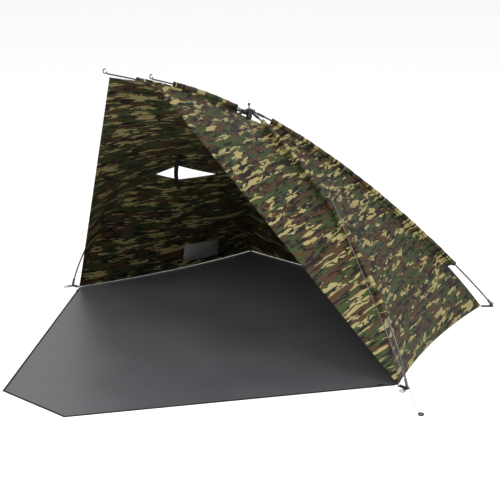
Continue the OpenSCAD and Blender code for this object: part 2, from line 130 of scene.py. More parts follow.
def panel_point(seam_a, seam_b, u, t, inward, sag_in, sag_mid):
    """A point of a cloth panel between two seams, as the CAD has it."""
    base = mix(bezier(seam_a, t), bezier(seam_b, t), u)
    return base + inward * 4 * u * (1 - u) * (sag_in * t**3 + sag_mid * math.sin(math.pi * t))


def front_point(u, t):
    return panel_point(ARM_SEAM, FRONT_SEAM, u, t, vec(-0.7, 0, -0.7), 0, 0.014)


def side_point(u, t):
    return panel_point(FRONT_SEAM, REAR_SEAM, u, t, SIDE_INWARD, EDGE_CURVE, 0.02)


def hood_point_at(u, t):
    return panel_point([mirrored(p) for p in ARM_SEAM], ARM_SEAM, u, t, vec(0, 0, -1), 0, 0.008)


def rear_point(u, t):
    return panel_point(REAR_SEAM, [mirrored(p) for p in REAR_SEAM], u, t, vec(0, -1, 0), EDGE_CURVE, 0.02)


def left(point):
    """The same panel on the left-hand side."""
    return lambda u, t: mirrored(point(u, t))


def normal_of(point, u, t, step=0.01):
    du = point(min(u + step, 1), t) - point(max(u - step, 0), t)
    dt = point(u, min(t + step, 1)) - point(u, max(t - step, 0))
    n = unit(np.cross(du, dt))
    outward = point(u, t) - vec(0, -0.2, 0.3)
    return n if np.dot(n, outward) > 0 else -n


# ---------------------------------------------------------------- mesh helpers
# edges sharper than this stay crisp, so that a thin sheet is not shaded round at its rim
RIM_ANGLE = math.radians(50)


def new_object(name, verts, faces, material, prints=None, smooth=True):
    """A mesh object; prints holds each vertex's place in the cloth's print, for the camouflage."""
    mesh = bpy.data.meshes.new(name)
    mesh.from_pydata([tuple(v) for v in verts], [], faces)
    mesh.validate()
    if prints is not None:
        attribute = mesh.attributes.new("print", "FLOAT_VECTOR", "POINT")
        attribute.data.foreach_set("vector", np.asarray(prints, np.float32).ravel())
    mesh.materials.append(material)
    if smooth:
        mesh.set_sharp_from_angle(angle=RIM_ANGLE)
    obj = bpy.data.objects.new(name, mesh)
    bpy.context.scene.collection.objects.link(obj)
    tidy = bmesh.new()
    tidy.from_mesh(mesh)
    bmesh.ops.recalc_face_normals(tidy, faces=tidy.faces)
    tidy.to_mesh(mesh)
    tidy.free()
    for polygon in mesh.polygons:
        polygon.use_smooth = smooth
    return obj


def add_modifier(obj, kind, **settings):
    modifier = obj.modifiers.new(kind.lower(), kind)
    for key, value in settings.items():
        setattr(modifier, key, value)
    return modifier


def apply_modifiers(obj):
    graph = bpy.context.evaluated_depsgraph_get()
    graph.update()
    mesh = bpy.data.meshes.new_from_object(obj.evaluated_get(graph))
    obj.modifiers.clear()
    obj.data = mesh
    return obj


def grid_faces(columns, rows, wrap=False):
    faces = []
    for i in range(columns - (0 if wrap else 1)):
        for j in range(rows - 1):
            a, b = i * rows + j, ((i + 1) % columns) * rows + j
            faces.append((a, b, b + 1, a + 1))
    return faces


def slab(name, lower, upper, columns, rows, material, prints=None, smooth=True):
    """A closed thin solid between two grids of points of the same size."""
    count = columns * rows
    verts = list(lower) + list(upper)
    faces = [tuple(reversed(f)) for f in grid_faces(columns, rows)]
    faces += [tuple(k + count for k in f) for f in grid_faces(columns, rows)]
    ring = [j for j in range(rows)] + [i * rows + rows - 1 for i in range(1, columns)]
    ring += [(columns - 1) * rows + j for j in range(rows - 2, -1, -1)]
    ring += [i * rows for i in range(columns - 2, 0, -1)]
    for k, a in enumerate(ring):
        b = ring[(k + 1) % len(ring)]
        faces.append((a, b, b + count, a + count))
    if prints is not None:
        prints = list(prints) + list(prints)
    return new_object(name, verts, faces, material, prints, smooth)


def frames_along(path):
    """A level side direction and an up direction at each point of a path."""
    out = []
    side = None
    for k in range(len(path)):
        along = unit(path[min(k + 1, len(path) - 1)] - path[max(k - 1, 0)])
        if side is None:
            side = unit(np.cross(along, vec(0, 0, 1) if abs(along[2]) < 0.95 else vec(0, 1, 0)))
        side = unit(side - along * np.dot(side, along))
        out.append((along, side, np.cross(side, along)))
    return out


def sweep(name, path, profile, material, prints=None, closed_ends=True):
    """A tube along a path; profile(k, angle) gives the radius at ring k."""
    sides = 16
    path = [np.asarray(p, float) for p in path]
    verts = []
    for k, (_, side, up) in enumerate(frames_along(path)):
        for s in range(sides):
            a = 2 * math.pi * s / sides
            verts.append(path[k] + profile(k, a) * (side * math.cos(a) + up * math.sin(a)))
    faces = []
    for k in range(len(path) - 1):
        for s in range(sides):
            n = (s + 1) % sides
            faces.append((k * sides + s, (k + 1) * sides + s, (k + 1) * sides + n, k * sides + n))
    if closed_ends:
        faces.append(tuple(range(sides)))
        faces.append(tuple((len(path) - 1) * sides + s for s in reversed(range(sides))))
    spread = None if prints is None else [p for p in prints for _ in range(sides)]
    return new_object(name, verts, faces, material, spread)


def waves(x, y, seed):
    """Smooth repeatable unevenness from a few crossed waves, from about -1 to 1."""
    total = 0
    for k in range(4):
        a = seed * 1.7 + k * 2.399
        total += math.sin((x * math.cos(a) + y * math.sin(a)) * (1.0 + 0.83 * k) + a * 3.1)
    return total / 2.6


# ---------------------------------------------------------------- materials
class Nodes:
    """Short calls for building one material's node tree."""

    def __init__(self, name):
        self.material = bpy.data.materials.new(name)
        self.material.use_nodes = True
        self.tree = self.material.node_tree
        self.shader = self.tree.nodes["Principled BSDF"]

    def add(self, kind, inputs=None, **settings):
        node = self.tree.nodes.new("ShaderNode" + kind)
        for key, value in settings.items():
            setattr(node, key, value)
        for key, value in (inputs or {}).items():
            self.join(value, node.inputs[key])
        return node

    def join(self, value, socket):
        if isinstance(value, bpy.types.NodeSocket):
            self.tree.links.new(value, socket)
        else:
            socket.default_value = value

    def math(self, operation, a, b=0.0):
        return self.add("Math", {0: a, 1: b}, operation=operation).outputs[0]

    def noise(self, vector, scale, detail=2.0, roughness=0.5, distortion=0.0, w=0.0):
        node = self.add("TexNoise", {"Vector": vector, "Scale": scale, "Detail": detail,
                                     "Roughness": roughness, "Distortion": distortion, "W": w},
                        noise_dimensions="4D")
        return node.outputs["Fac"]

    def step(self, value, edge, soft=0.006):
        node = self.add("MapRange", {"Value": value, "From Min": edge - soft, "From Max": edge + soft},
                        interpolation_type="SMOOTHSTEP")
        return node.outputs["Result"]

    def blend(self, factor, a, b, mode="MIX"):
        node = self.add("Mix", data_type="RGBA", blend_type=mode)
        self.join(factor, node.inputs[0])
        self.join(a, node.inputs[6])
        self.join(b, node.inputs[7])
        return node.outputs[2]

    def bump(self, height, distance, strength=1.0, before=None):
        node = self.add("Bump", {"Height": height, "Distance": distance, "Strength": strength})
        if before is not None:
            self.join(before, node.inputs["Normal"])
        return node.outputs["Normal"]

    def weave(self, vector, pitch):
        """Height of a plain weave with its threads along the cloth's two directions."""
        parts = self.add("SeparateXYZ", {0: vector})
        k = 2 * math.pi / pitch
        one = self.math("SINE", self.math("MULTIPLY", parts.outputs[0], k))
        two = self.math("SINE", self.math("MULTIPLY", parts.outputs[2], k))
        three = self.math("SINE", self.math("MULTIPLY", parts.outputs[1], k))
        return self.math("MULTIPLY", self.math("ADD", one, three), two)

    def finish(self, colour, roughness, normal=None, **fixed):
        self.join(colour, self.shader.inputs["Base Color"])
        self.join(roughness, self.shader.inputs["Roughness"])
        if normal is not None:
            self.join(normal, self.shader.inputs["Normal"])
        for key, value in fixed.items():
            self.shader.inputs[key].default_value = value
        return self.material


def colour(code, gain=1.0):
    """Linear colour from an ordinary hex code."""
    parts = [int(code[k : k + 2], 16) / 255 for k in (0, 2, 4)]
    line = [p / 12.92 if p <= 0.04045 else ((p + 0.055) / 1.055) ** 2.4 for p in parts]
    return (*[min(c * gain, 1) for c in line], 1)


PRINT_STRETCH = 3.2


def camouflage():
    n = Nodes("camouflage_cloth")
    place = n.add("Attribute", attribute_name="print").outputs["Vector"]
    spread = n.add("VectorMath", {0: place, 1: (1, 1, PRINT_STRETCH)}, operation="MULTIPLY").outputs[0]
    wander = n.add("TexNoise", {"Vector": spread, "Scale": 16.0, "Detail": 2.0}).outputs["Color"]
    shift = n.add("VectorMath", {0: wander, 1: (0.5, 0.5, 0.5)}, operation="SUBTRACT").outputs[0]
    small = n.add("VectorMath", {0: shift, 1: (0.07, 0.07, 0.10)}, operation="MULTIPLY").outputs[0]
    at = n.add("VectorMath", {0: spread, 1: small}, operation="ADD").outputs[0]
    shade = n.blend(n.step(n.noise(at, 7.5, 1.5, w=1.0), 0.475), colour("857b50"), colour("2d3719"))
    shade = n.blend(n.step(n.noise(at, 7.2, 1.5, w=5.3), 0.535), shade, colour("3b2814"))
    thin = n.math("ABSOLUTE", n.math("SUBTRACT", n.noise(at, 7.0, 1.0, w=9.1), 0.5))
    strokes = n.math("SUBTRACT", 1.0, n.step(thin, 0.022, 0.004))
    blots = n.step(n.noise(at, 11.0, 1.5, w=12.4), 0.585)
    shade = n.blend(n.math("MAXIMUM", strokes, blots), shade, colour("0e0806"))
    faded = n.noise(place, 5.0, 3.0, w=2.0)
    tint = n.add("MapRange", {"Value": faded, "To Min": 0.86, "To Max": 1.1}).outputs["Result"]
    shade = n.blend(1.0, shade, n.add("CombineXYZ", {0: tint, 1: tint, 2: tint}).outputs[0], "MULTIPLY")
    threads = n.weave(place, 0.0024)
    crease = n.noise(place, 14.0, 3.0, 0.55, w=3.0)
    fold = n.bump(crease, 0.006, 0.35)
    rough = n.add("MapRange", {"Value": crease, "To Min": 0.62, "To Max": 0.82}).outputs["Result"]
    return n.finish(shade, rough, n.bump(threads, 0.0003, 0.25, fold), **{"Specular IOR Level": 0.25})


def coated_floor():
    n = Nodes("coated_floor_cloth")
    place = n.add("TexCoord").outputs["Object"]
    worn = n.noise(place, 3.0, 4.0, w=0.7)
    shade = n.blend(worn, colour("3d3e41"), colour("4e4f52"))
    dust = n.step(n.noise(place, 60.0, 4.0, 0.7, w=2.0), 0.66, 0.08)
    shade = n.blend(n.math("MULTIPLY", dust, 0.25), shade, colour("6a6a68"))
    parts = n.add("SeparateXYZ", {0: place})
    k = 2 * math.pi / 0.0022
    threads = n.math("MULTIPLY", n.math("SINE", n.math("MULTIPLY", parts.outputs[0], k)),
                     n.math("SINE", n.math("MULTIPLY", parts.outputs[1], k)))
    ripple = n.bump(n.noise(place, 7.0, 3.0, 0.5, w=4.0), 0.012, 0.25)
    rough = n.add("MapRange", {"Value": worn, "To Min": 0.36, "To Max": 0.5}).outputs["Result"]
    return n.finish(shade, rough, n.bump(threads, 0.0003, 0.3, ripple), **{"Specular IOR Level": 0.6})


def webbing_tape(name, code, pitch=0.0016):
    n = Nodes(name)
    place = n.add("TexCoord").outputs["Object"]
    parts = n.add("SeparateXYZ", {0: place})
    k = 2 * math.pi / pitch
    total = n.math("ADD", n.math("ADD", parts.outputs[0], parts.outputs[1]), parts.outputs[2])
    cross = n.math("SUBTRACT", n.math("ADD", parts.outputs[0], parts.outputs[1]), parts.outputs[2])
    ribs = n.math("MULTIPLY", n.math("SINE", n.math("MULTIPLY", total, k)),
                  n.math("SINE", n.math("MULTIPLY", cross, k)))
    fuzz = n.noise(place, 90.0, 3.0, 0.6)
    shade = n.blend(fuzz, colour(code, 0.7), colour(code, 1.5))
    rough = n.add("MapRange", {"Value": fuzz, "To Min": 0.7, "To Max": 0.9}).outputs["Result"]
    return n.finish(shade, rough, n.bump(ribs, 0.0004, 0.5), **{"Specular IOR Level": 0.3})


def moulded(name, code, roughness=0.5, grain=900.0):
    n = Nodes(name)
    place = n.add("TexCoord").outputs["Object"]
    pits = n.noise(place, grain, 3.0, 0.6)
    scuffs = n.step(n.noise(place, 40.0, 5.0, 0.7, w=4.0), 0.62, 0.06)
    shade = n.blend(n.math("MULTIPLY", scuffs, 0.35), colour(code), colour(code, 2.6))
    rough = n.add("MapRange", {"Value": pits, "To Min": roughness - 0.08, "To Max": roughness + 0.12})
    return n.finish(shade, rough.outputs["Result"], n.bump(pits, 0.0002, 0.35))


def drawn_rod():
    """Pultruded glass-fibre rod with fine lengthwise streaks and a thin glossy skin."""
    n = Nodes("drawn_rod")
    place = n.add("TexCoord").outputs["Object"]
    streak = n.noise(n.add("VectorMath", {0: place, 1: (900, 900, 40)}, operation="MULTIPLY").outputs[0],
                     1.0, 3.0, 0.6)
    shade = n.blend(streak, colour("1a1a1b"), colour("3d3d40"))
    rough = n.add("MapRange", {"Value": streak, "To Min": 0.28, "To Max": 0.45}).outputs["Result"]
    return n.finish(shade, rough, n.bump(streak, 0.0002, 0.3), **{"Coat Weight": 0.3})


def plated():
    n = Nodes("plated_steel")
    place = n.add("TexCoord").outputs["Object"]
    brushed = n.noise(place, 350.0, 3.0, 0.6)
    shade = n.blend(brushed, colour("8d8d90"), colour("b9b9bb"))
    rough = n.add("MapRange", {"Value": brushed, "To Min": 0.25, "To Max": 0.42}).outputs["Result"]
    return n.finish(shade, rough, n.bump(brushed, 0.0001, 0.3), Metallic=1.0)


def net(name, code, pitch=0.004):
    """Knitted mesh: a lattice of fine threads with clear holes between them."""
    n = Nodes(name)
    place = n.add("Attribute", attribute_name="print").outputs["Vector"]
    parts = n.add("SeparateXYZ", {0: place})
    k = math.pi / pitch
    both_ways = [n.math(kind, parts.outputs[0], parts.outputs[2]) for kind in ("ADD", "SUBTRACT")]
    one, two = [n.math("ABSOLUTE", n.math("SINE", n.math("MULTIPLY", way, k))) for way in both_ways]
    thread = n.math("MINIMUM", one, two)
    cover = n.math("SUBTRACT", 1.0, n.step(thread, 0.5, 0.12))
    soft = n.noise(place, 30.0, 2.0)
    n.join(n.add("MapRange", {"Value": cover, "To Min": 0.3, "To Max": 0.95}).outputs["Result"],
           n.shader.inputs["Alpha"])
    shade = n.blend(soft, colour(code, 0.8), colour(code, 1.2))
    return n.finish(shade, n.math("ADD", 0.7, n.math("MULTIPLY", soft, 0.15)), n.bump(cover, 0.0006, 0.4))


def twisted_cord():
    n = Nodes("twisted_cord")
    place = n.add("TexCoord").outputs["Object"]
    parts = n.add("SeparateXYZ", {0: place})
    lay = n.math("SINE", n.math("MULTIPLY", n.math("ADD", parts.outputs[2], parts.outputs[0]), 1900.0))
    fuzz = n.noise(place, 400.0, 3.0, 0.6)
    shade = n.blend(n.math("MULTIPLY", n.math("ADD", lay, 1.0), 0.5), colour("403d3f"), colour("777274"))
    rough = n.add("MapRange", {"Value": fuzz, "To Min": 0.6, "To Max": 0.85}).outputs["Result"]
    return n.finish(shade, rough, n.bump(n.math("ADD", lay, fuzz), 0.0004, 0.6))


CAMO = camouflage()
FLOOR = coated_floor()
TAPE = webbing_tape("black_tape", "141414")
PIPING = webbing_tape("grey_piping", "55554c")
BLACK = moulded("moulded_black", "121213", 0.42)
GREY = moulded("moulded_grey", "3a3a3b", 0.5)
ROD = drawn_rod()
STEEL = plated()
ENAMEL = moulded("black_enamel", "0d0d0e", 0.3)
NET = net("pocket_net", "8f8f8f")
HEM_GREY = webbing_tape("pocket_tape", "6e6e6e")
CORD = twisted_cord()


# ---------------------------------------------------------------- guy line
GUY_TOP = vec(0.618, -0.498, 0.786)
GUY_LOW = vec(1.339, -0.810, 0.006)
GUY_RADIUS = 0.0015
GUY_RINGS = 520


def guy_profile(k, angle):
    """Three strands twisted round each other."""
    return GUY_RADIUS * (0.88 + 0.12 * math.cos(3 * angle + k * 0.55))


guy_fine = [mix(GUY_TOP, GUY_LOW, k / GUY_RINGS) for k in range(GUY_RINGS + 1)]
guy = sweep("guy_line_cord", guy_fine, guy_profile, CORD)
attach(guy, "ground")
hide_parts("guy_line")


# ---------------------------------------------------------------- canopy cloth
CROWN = 0.05
PRINT_RISE = 1.3
PRINT_OUTWARD = 0.6
PRINT_BACKWARD = 0.2
CLOTH = 0.0014


def flatten(obj):
    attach(obj, "ground")
    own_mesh(obj)


def print_at(p):
    """The printed blobs lie along every panel, square to its slope, and run on across the seams."""
    return vec(p[0], p[1], PRINT_RISE * (p[2] - PRINT_OUTWARD * abs(p[0]) - PRINT_BACKWARD * p[1]))


def relief(u, t, wide, seed):
    """Height of the cloth off its smooth surface: slack in the middle, pulls at seams and corners."""
    edge = 4 * u * (1 - u)
    near = min(u, 1 - u) * wide
    slack = 0.0045 * edge * waves(u * 5 + seed, t * 6, seed) * min(1, t * 2)
    pucker = 0.0016 * math.exp(-near / 0.035) * math.sin(t * 190 + 2.2 * waves(t * 9, u * 3, seed + 1))
    fan = 0.003 * edge * math.exp(-(1 - t) / 0.22) * math.sin(u * 21 + seed + 2 * t)
    top = 0.002 * edge * math.exp(-t / 0.25) * math.sin(u * 17 + seed)
    end = max(0.0, min(1.0, (1 - t) / 0.03))
    return (slack + fan) * end + pucker * (1 - 0.5 * end) + top


def cloth_panel(name, node, point, seed, t0=CROWN, columns=56, rows=84):
    """One cloth panel as a thin closed sheet with its own relief, in the place of its CAD node."""
    lower, upper, prints = [], [], []
    area = 0
    gap = 0.0015
    for i in range(columns):
        for j in range(rows):
            t = mix(t0, 1.0, j / (rows - 1))
            wide = max(np.linalg.norm(point(1, t) - point(0, t)), 0.001)
            u = mix(min(gap / wide, 0.4), 1 - min(gap / wide, 0.4), i / (columns - 1))
            n = normal_of(point, u, t)
            p = point(u, t) + n * relief(u, t, wide, seed)
            lower.append(p - n * CLOTH / 2)
            upper.append(p + n * CLOTH / 2)
            prints.append(print_at(p))
    area = 0.0
    for f in grid_faces(columns, rows):
        a, b, c, d = (lower[k] for k in f)
        area += np.linalg.norm(np.cross(c - a, d - b)) / 2
    obj = slab(name, lower, upper, columns, rows, CAMO, prints)
    width = max(sum(np.linalg.norm(point((k + 1) / 20, t) - point(k / 20, t)) for k in range(20))
                for t in (0.3, 0.5, 0.7, 0.9, 1.0))
    length = max(sum(np.linalg.norm(point(u, mix(t0, 1, (k + 1) / 30)) - point(u, mix(t0, 1, k / 30)))
                     for k in range(30)) for u in (0, 0.5, 1))
    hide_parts(node)
    return obj, width, length, area


def hem_strip(name, point, us, ts, width, side, seed, thick=0.0030):
    """A folded hem with a stitch groove, along one line of a panel, on both faces of the cloth."""
    steps = 70
    lower, upper, prints = [], [], []
    for k in range(steps + 1):
        u, t = mix(us[0], us[1], k / steps), mix(ts[0], ts[1], k / steps)
        p, n = point(u, t), normal_of(point, u, t)
        inward = side(u, t)
        for r in range(5):
            q = p + inward * width * r / 4 + n * 0.0006 * math.sin(k * 0.9 + seed + r)
            swell = thick / 2 * (1.0 if r not in (0, 3) else 0.72)
            lower.append(q - n * swell)
            upper.append(q + n * swell)
            prints.append(print_at(q))
    return slab(name, lower, upper, steps + 1, 5, CAMO, prints)


panels = {}
PANELS = [
    ("hood_cloth", "hood_panel", hood_point_at, 1.0),
    ("right_front_cloth", "right_front_panel", front_point, 2.0),
    ("left_front_cloth", "left_front_panel", left(front_point), 3.0),
    ("right_side_cloth", "right_side_panel", side_point, 4.0),
    ("left_side_cloth", "left_side_panel", left(side_point), 5.0),
    ("rear_cloth", "rear_panel", rear_point, 6.0),
]
for cloth_name, cad_node, surface, cloth_seed in PANELS:
    panels[cloth_name] = cloth_panel(cloth_name, cad_node, surface, cloth_seed)


# ---------------------------------------------------------------- slot window
# where the window's front, lower, rear and upper points lie on the left side panel
WINDOW = [(0.05, 0.458), (0.296, 0.491), (0.65, 0.462), (0.178, 0.405)]
left_side = left(side_point)
window_points = [left_side(u, t) for u, t in WINDOW]
window_centre = sum(window_points) / 4
window_along = unit(window_points[2] - window_points[0])
window_out = unit(np.cross(window_along, window_points[3] - window_points[1]))
if np.dot(window_out, vec(-1, 0, 0.3)) < 0:
    window_out = -window_out


def window_cutter():
    verts = [p + window_out * s for s in (-0.12, 0.12) for p in window_points]
    faces = [(0, 1, 2, 3), (7, 6, 5, 4)] + [(k, k + 4, (k + 1) % 4 + 4, (k + 1) % 4) for k in range(4)]
    return new_object("window_cutter", verts, faces, CAMO, smooth=False)


cutter = window_cutter()
side_cloth = panels["left_side_cloth"][0]
add_modifier(side_cloth, "BOOLEAN", operation="DIFFERENCE", object=cutter, solver="EXACT")
apply_modifiers(side_cloth)
bpy.data.objects.remove(cutter)


def onto_panel(point, target, u, t):
    """The panel's u and t right behind a point of the window's plane."""
    for _ in range(12):
        p = point(u, t)
        du, dt = (point(u + 0.005, t) - p) / 0.005, (point(u, t + 0.005) - p) / 0.005
        basis = np.column_stack([du, dt, window_out])
        step = np.linalg.solve(basis, target - p)
        u, t = u + step[0], t + step[1]
    return u, t


def window_border():
    """Narrow bound edge round the window, following the curve of the cloth."""
    per_side, wide = 26, 0.007
    lower, upper, prints = [], [], []
    for k in range(4 * per_side):
        a, b = window_points[k // per_side], window_points[(k // per_side + 1) % 4]
        uv_a, uv_b = WINDOW[k // per_side], WINDOW[(k // per_side + 1) % 4]
        part = (k % per_side) / per_side
        edge = mix(a, b, part)
        away = unit(edge - window_centre)
        for r in range(3):
            u, t = onto_panel(left_side, edge + away * wide * r / 2, mix(uv_a[0], uv_b[0], part),
                              mix(uv_a[1], uv_b[1], part))
            n = normal_of(left_side, u, t)
            q = left_side(u, t)
            lower.append(q - n * 0.0028)
            upper.append(q + n * 0.0022)
    count = 4 * per_side
    verts = lower + upper
    total = len(lower)
    faces = []
    for k in range(count):
        m = (k + 1) % count
        for r in range(2):
            a, b = k * 3 + r, m * 3 + r
            faces.append((a, a + 1, b + 1, b))
            faces.append((a + total, b + total, b + 1 + total, a + 1 + total))
        faces.append((k * 3, m * 3, m * 3 + total, k * 3 + total))
        faces.append((k * 3 + 2, k * 3 + 2 + total, m * 3 + 2 + total, m * 3 + 2))
    return new_object("window_edge", verts, faces, TAPE)


border = window_border()
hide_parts("window_binding")
flatten(border)


def window_strap():
    """Webbing strap down the middle of the window, sewn above and below it."""
    wide, steps = 0.025, 40
    lower, upper = [], []
    for i in range(5):
        for j in range(steps + 1):
            t = mix(0.352, 0.54, j / steps)
            u = 0.092 + (t - 0.359) * 1.43
            span = np.linalg.norm(left_side(1, t) - left_side(0, t))
            across = (i / 4 - 0.5) * wide / span
            n = normal_of(left_side, u + across, t)
            open_part = math.exp(-(((t - 0.448) / 0.05) ** 4))
            q = left_side(u + across, t) - n * (0.0095 + 0.003 * open_part)
            swell = 0.0009 if i in (0, 4) else 0.0007
            lower.append(q - n * swell)
            upper.append(q + n * swell)
    return slab("window_strap_webbing", lower, upper, 5, steps + 1, TAPE)


strap = window_strap()
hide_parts("window_strap")
flatten(strap)


for cloth_name, (cloth, wide, long, area) in panels.items():
    flatten(cloth)


# ---------------------------------------------------------------- hems and edges
def towards(point, du, dt):
    def way(u, t):
        return unit(point(u + du, t + dt) - point(u, t))
    return way


HEMS = [
    ("right_front_hem", front_point, 0.99, 0.022, ["right_edge_tape"]),
    ("left_front_hem", left(front_point), 0.99, 0.022, ["left_edge_tape"]),
    ("hood_front_hem", hood_point_at, 0.985, 0.020, []),
    ("right_side_hem", side_point, 0.992, 0.020, []),
    ("left_side_hem", left(side_point), 0.992, 0.020, []),
    ("rear_hem", rear_point, 0.992, 0.020, []),
]
for hem_name, surface, hem_t, wide, stands_for in HEMS:
    us, ts, side = (0, 1), (hem_t, hem_t), towards(surface, 0, -0.02)
    hem = hem_strip(hem_name, surface, us, ts, wide, side, len(hem_name))
    if stands_for:
        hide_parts(*stands_for)
    flatten(hem)


# ---------------------------------------------------------------- pole sleeves
SLEEVE_R = 0.0118


def sleeve(name, node, pole, seam, from_t, to_t, flip):
    """A cloth tunnel round the pole, sewn to the seam by a narrow flat web, with hemmed ends."""
    place = mirrored if flip else (lambda p: p)
    steps = 96
    path, prints = [], []
    for k in range(steps + 1):
        t = mix(from_t, to_t, k / steps)
        path.append(place(bezier(pole, t)))
        prints.append(print_at(path[-1]))

    def profile(k, angle):
        hem = 0.0012 if k < 3 or k > steps - 3 else 0.0
        pucker = 0.0007 * math.sin(k * 1.3 + 2 * math.sin(angle)) + 0.0006 * math.sin(k * 0.37 + angle)
        return SLEEVE_R + hem + pucker - 0.0018 * abs(math.cos(angle)) ** 2

    tunnel = sweep(name, path, profile, CAMO, prints, closed_ends=False)
    add_modifier(tunnel, "SOLIDIFY", thickness=0.0012, offset=-1)
    apply_modifiers(tunnel)
    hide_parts(node)
    flatten(tunnel)
    lower, upper, web_prints = [], [], []
    for k in range(steps + 1):
        t = mix(from_t, to_t, k / steps)
        high = place(bezier(pole, t))
        low = place(bezier(seam, t))
        along = unit(place(bezier(pole, min(t + 0.01, 1))) - place(bezier(pole, t - 0.01)))
        down = unit(low - high)
        side = unit(np.cross(along, down))
        top = high + down * (SLEEVE_R - 0.002)
        for r in range(4):
            q = mix(top, low, r / 3) + side * 0.0007 * math.sin(k * 0.8 + r)
            lower.append(q - side * 0.0009)
            upper.append(q + side * 0.0009)
            web_prints.append(print_at(q))
    web = slab(name.replace("sleeve", "seam"), lower, upper, steps + 1, 4, CAMO, web_prints)
    flatten(web)


for side_name, flipped in (("right", False), ("left", True)):
    for rod, pole, seam, start in (
        (f"{side_name}_arm", ARM_POLE, ARM_SEAM, 0.14),
        (f"front_{side_name}", FRONT_POLE, FRONT_SEAM, 0.07),
        (f"rear_{side_name}", REAR_POLE, REAR_SEAM, 0.07),
    ):
        sleeve(f"{rod}_tunnel_sleeve", f"{rod}_sleeve", pole, seam, start, 0.8, flipped)


# ---------------------------------------------------------------- seam welts where panels meet
def welt(name, seam, flip, radius=0.0020, from_t=CROWN, to_t=1.0):
    """Corded welt over the gap between two panels, with stitched puckers."""
    place = mirrored if flip else (lambda p: p)
    steps = 150
    ts = [mix(from_t, to_t, k / steps) for k in range(steps + 1)]
    path = [place(bezier(seam, t)) for t in ts]
    prints = [print_at(p) for p in path]
    obj = sweep(name, path, lambda k, a: radius * (1 + 0.12 * math.sin(k * 1.9)), CAMO, prints)
    flatten(obj)


for seam_name, seam in (("arm", ARM_SEAM), ("front", FRONT_SEAM), ("rear", REAR_SEAM)):
    welt(f"right_{seam_name}_welt", seam, False)
    welt(f"left_{seam_name}_welt", seam, True)


# ---------------------------------------------------------------- crown patch
def crown_piece(name, point):
    """Reinforcing cloth over one panel's narrow top, under the hub, lapped over the panel's edge."""
    columns, rows, lap, half = 16, 8, 0.0026, 0.0009
    lower, upper, prints = [], [], []
    for i in range(columns):
        for j in range(rows):
            u, t = i / (columns - 1), mix(0.006, CROWN + 0.010, j / (rows - 1))
            q, n = point(u, t), normal_of(point, u, t)
            n = n if n[2] > 0 else -n
            lower.append(q + n * (lap - half))
            upper.append(q + n * (lap + half))
            prints.append(print_at(q))
    piece = slab(name, lower, upper, columns, rows, CAMO, prints)
    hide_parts("crown_patch")
    flatten(piece)


for cloth_name, cad_node, surface, cloth_seed in PANELS:
    crown_piece(cloth_name.replace("cloth", "crown_cloth"), surface)


# ---------------------------------------------------------------- floor, door and their seams
def floor_outline():
    inset = 0.0
    points = [vec(-FRONT_CORNER[0] + inset * 1.3, FRONT_CORNER[1] + 0.002, 0)]
    points.append(vec(FRONT_CORNER[0] - inset * 1.3, FRONT_CORNER[1] + 0.002, 0))
    for k in range(1, 40):
        p = side_point(k / 40, 1)
        points.append(vec(p[0] - inset, p[1], 0))
    points.append(vec(REAR_CORNER[0] - inset * 1.2, REAR_CORNER[1] - inset, 0))
    for k in range(1, 40):
        p = rear_point(k / 40, 1)
        points.append(vec(p[0], p[1] - inset, 0))
    points.append(vec(-REAR_CORNER[0] + inset * 1.2, REAR_CORNER[1] - inset, 0))
    for k in range(39, 0, -1):
        p = side_point(k / 40, 1)
        points.append(vec(-p[0] + inset, p[1], 0))
    return points


def half_width(points, y):
    """Half the outline's width at a depth."""
    best = 0
    for a, b in zip(points, points[1:] + points[:1]):
        if min(a[1], b[1]) <= y <= max(a[1], b[1]) and abs(a[1] - b[1]) > 1e-9:
            best = max(best, abs(mix(a[0], b[0], (y - a[1]) / (b[1] - a[1]))))
    return best


def floor_sheet():
    outline = floor_outline()
    columns, rows = 60, 40
    front, rear = FRONT_CORNER[1] + 0.002, REAR_CORNER[1] - 0.012
    lower, upper = [], []
    for i in range(columns):
        for j in range(rows):
            s = 2 * i / (columns - 1) - 1
            y = mix(front, rear, j / (rows - 1))
            x = half_width(outline, min(max(y, front + 1e-5), rear - 1e-5)) * s
            back = rear_point((1 - s) / 2, 1)[1] - 0.008
            y = mix(front, min(back, rear + 0.004), j / (rows - 1))
            rise = 0.0011 * max(0, 1 - abs(s) ** 6) * (0.5 + 0.5 * waves(x * 6, y * 6, 2.0))
            lower.append(vec(x, y, 0.0))
            upper.append(vec(x, y, 0.0012 + rise))
    return slab("floor_cloth", lower, upper, columns, rows, FLOOR)


floor = floor_sheet()
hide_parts("floor_panel")
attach(floor, "ground")

DOOR_FOLD = -0.616
DOOR_LENGTH = 1.214
DOOR_HALF = 1.094
DOOR_TIP_HALF = 0.213


def door_half(y):
    return mix(DOOR_HALF, DOOR_TIP_HALF, (DOOR_FOLD - y) / DOOR_LENGTH)


def door_sheet():
    columns, rows = 60, 40
    lower, upper = [], []
    for i in range(columns):
        for j in range(rows):
            s = 2 * i / (columns - 1) - 1
            y = mix(DOOR_FOLD, DOOR_FOLD - DOOR_LENGTH + 0.004, j / (rows - 1))
            x = (door_half(y) - 0.004) * s
            rise = 0.0009 * (0.5 + 0.5 * waves(x * 5, y * 7, 7.0))
            lower.append(vec(x, y, 0.0))
            upper.append(vec(x, y, 0.0012 + rise))
    return slab("door_cloth", lower, upper, columns, rows, FLOOR)


door = door_sheet()
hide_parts("door_panel")
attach(door, "door")


